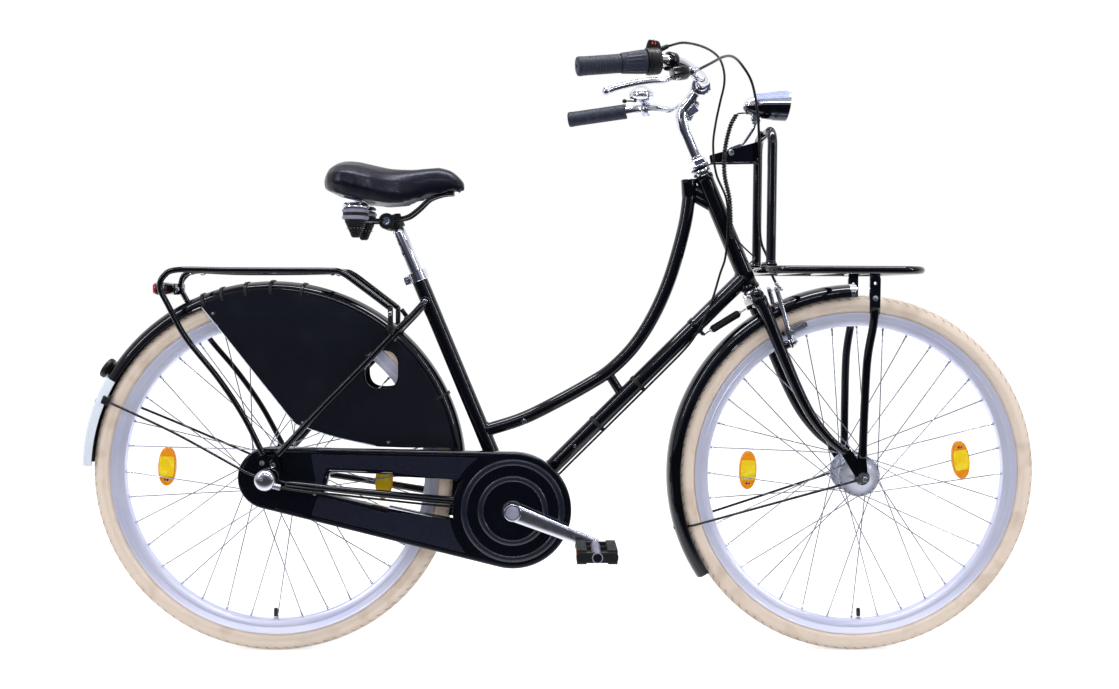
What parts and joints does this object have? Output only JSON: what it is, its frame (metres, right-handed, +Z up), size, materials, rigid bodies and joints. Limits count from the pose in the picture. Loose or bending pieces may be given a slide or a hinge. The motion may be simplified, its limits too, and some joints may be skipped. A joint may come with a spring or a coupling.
{
  "type": "transport bicycle",
  "caption": "City bicycle with a low curved frame, closed chain case, coat guards, rear carrier, and a front cargo platform with an arch carried on the fork.",
  "frame": {"origin": "on the ground under the middle of the overall length", "axes": "+X forward, +Y to the rider's left, +Z up"},
  "size_m": [1.879, 0.5922, 1.1583],
  "materials": {
    "chrome": "polished",
    "black_plastic": "satin",
    "black_rubber": "matte",
    "polished_alloy": "polished",
    "zinc_steel": "satin",
    "gloss_panel": "gloss",
    "black_enamel": "gloss",
    "cream_rubber": "matte",
    "lamp_chrome": "polished",
    "clear_glass": "gloss",
    "red_lens": "gloss",
    "saddle_vinyl": "gloss"
  },
  "bodies": {
    "frame": {"main_frame": "black_enamel", "seat_stays": "black_enamel", "headset_lower_cup": "chrome", "headset_upper_cup": "chrome", "seat_collar": "chrome", "chain_case_outer": "gloss_panel", "chain_case_inner": "gloss_panel", "chain": "zinc_steel", "rear_axle": "zinc_steel", "rear_mudguard": "black_enamel", "rear_mudguard_stay": "black_enamel", "right_coat_guard": "gloss_panel", "left_coat_guard": "gloss_panel", "rear_rack": "black_enamel", "rear_lamp": "red_lens", "hub_shifter_cap": "polished_alloy", "gear_cable": "black_rubber", "steering_stabiliser": "black_rubber"},
    "steering": {"fork": "black_enamel", "headset_locknut": "chrome", "stem": "chrome", "handlebar": "chrome", "left_grip": "black_rubber", "right_grip": "black_rubber", "shifter_housing": "black_plastic", "brake_lever_perch": "black_plastic", "bell": "chrome", "front_axle": "zinc_steel", "front_mudguard": "black_enamel", "front_mudguard_stay": "black_enamel", "front_rack": "black_enamel", "front_hoop": "black_enamel", "hoop_bracket": "black_enamel", "right_strut": "black_enamel", "left_strut": "black_enamel", "headlamp": "lamp_chrome", "headlamp_lens": "clear_glass", "headlamp_bracket": "chrome", "brake_cable": "black_rubber", "gear_cable_upper": "black_rubber", "lamp_lead": "black_rubber"},
    "front_wheel": {"front_hub_and_spokes": "polished_alloy", "front_rim": "polished_alloy", "front_tyre": "cream_rubber"},
    "rear_wheel": {"rear_hub_and_spokes": "polished_alloy", "rear_rim": "polished_alloy", "rear_tyre": "cream_rubber"},
    "sprocket": {"rear_sprocket": "zinc_steel"},
    "crank": {"right_crank": "polished_alloy", "left_crank_and_axle": "polished_alloy"},
    "right_pedal": {"right_pedal_block": "black_plastic"},
    "left_pedal": {"left_pedal_block": "black_plastic"},
    "brake_lever": {"brake_lever": "polished_alloy"},
    "brake_arm_right": {"right_brake_arm": "polished_alloy"},
    "brake_arm_left": {"left_brake_arm": "polished_alloy"},
    "twist": {"twist_grip": "black_rubber"},
    "bell_lever": {"bell_lever": "black_plastic"},
    "seat": {"seat_post": "chrome", "saddle_frame": "black_plastic", "saddle": "saddle_vinyl"}
  },
  "joints": [
    {"name": "steering_turn", "type": "hinge", "parent": "frame", "child": "steering", "pos_m": [0.37711, 0, 0.715], "axis": [-0.3987, 0, 0.9171], "range_deg": [-60, 60], "stiffness_Nm_per_rad": 4, "deforming": ["gear_cable", "steering_stabiliser"]},
    {"name": "front_wheel_spin", "type": "hinge", "parent": "steering", "child": "front_wheel", "pos_m": [0.58712, 0, 0.355], "axis": [0, 1, 0], "continuous": true},
    {"name": "rear_wheel_spin", "type": "hinge", "parent": "frame", "child": "rear_wheel", "pos_m": [-0.56288, 0, 0.355], "axis": [0, 1, 0], "continuous": true},
    {"name": "crank_spin", "type": "hinge", "parent": "frame", "child": "crank", "pos_m": [-0.09288, 0, 0.29], "axis": [0, 1, 0], "continuous": true, "deforming": ["chain"]},
    {"name": "sprocket_spin", "type": "hinge", "parent": "frame", "child": "sprocket", "pos_m": [-0.56288, 0, 0.355], "axis": [0, 1, 0], "continuous": true},
    {"name": "right_pedal_spin", "type": "hinge", "parent": "crank", "child": "right_pedal", "pos_m": [0.06529, -0.1345, 0.2277], "axis": [0, 1, 0], "continuous": true},
    {"name": "left_pedal_spin", "type": "hinge", "parent": "crank", "child": "left_pedal", "pos_m": [-0.25106, 0.1345, 0.3523], "axis": [0, 1, 0], "continuous": true},
    {"name": "brake_lever_pull", "type": "hinge", "parent": "steering", "child": "brake_lever", "pos_m": [0.19312, -0.256, 1.088], "axis": [-0.1578, 0.948, -0.2765], "range_deg": [0, 10], "stiffness_Nm_per_rad": 0.8, "springref_deg": -28.65},
    {"name": "brake_arm_right_close", "type": "hinge", "parent": "steering", "child": "brake_arm_right", "pos_m": [0.44847, -0.0435, 0.61735], "axis": [-0.9171, 0, -0.3987], "range_deg": [0, 2]},
    {"name": "brake_arm_left_close", "type": "hinge", "parent": "steering", "child": "brake_arm_left", "pos_m": [0.44847, 0.0435, 0.61735], "axis": [0.9171, 0, 0.3987], "range_deg": [0, 2]},
    {"name": "twist_shift", "type": "hinge", "parent": "steering", "child": "twist", "pos_m": [0.09644, -0.26581, 1.10465], "axis": [-0.9736, -0.1962, -0.117], "range_deg": [-55, 55]},
    {"name": "bell_lever_push", "type": "hinge", "parent": "steering", "child": "bell_lever", "pos_m": [0.16012, 0.218, 1.1247], "axis": [0, 0, 1], "range_deg": [0, 25], "stiffness_Nm_per_rad": 0.05, "springref_deg": -22.92},
    {"name": "saddle_height", "type": "slide", "parent": "frame", "child": "seat", "axis": [-0.3859, 0, 0.9225], "range_m": [-0.06, 0.08]}
  ],
  "couplings": [
    {"joint": "sprocket_spin", "follows": "crank_spin", "ratio": 2},
    {"joint": "brake_arm_right_close", "follows": "brake_lever_pull", "ratio": 0.2},
    {"joint": "brake_arm_left_close", "follows": "brake_lever_pull", "ratio": 0.2}
  ]
}
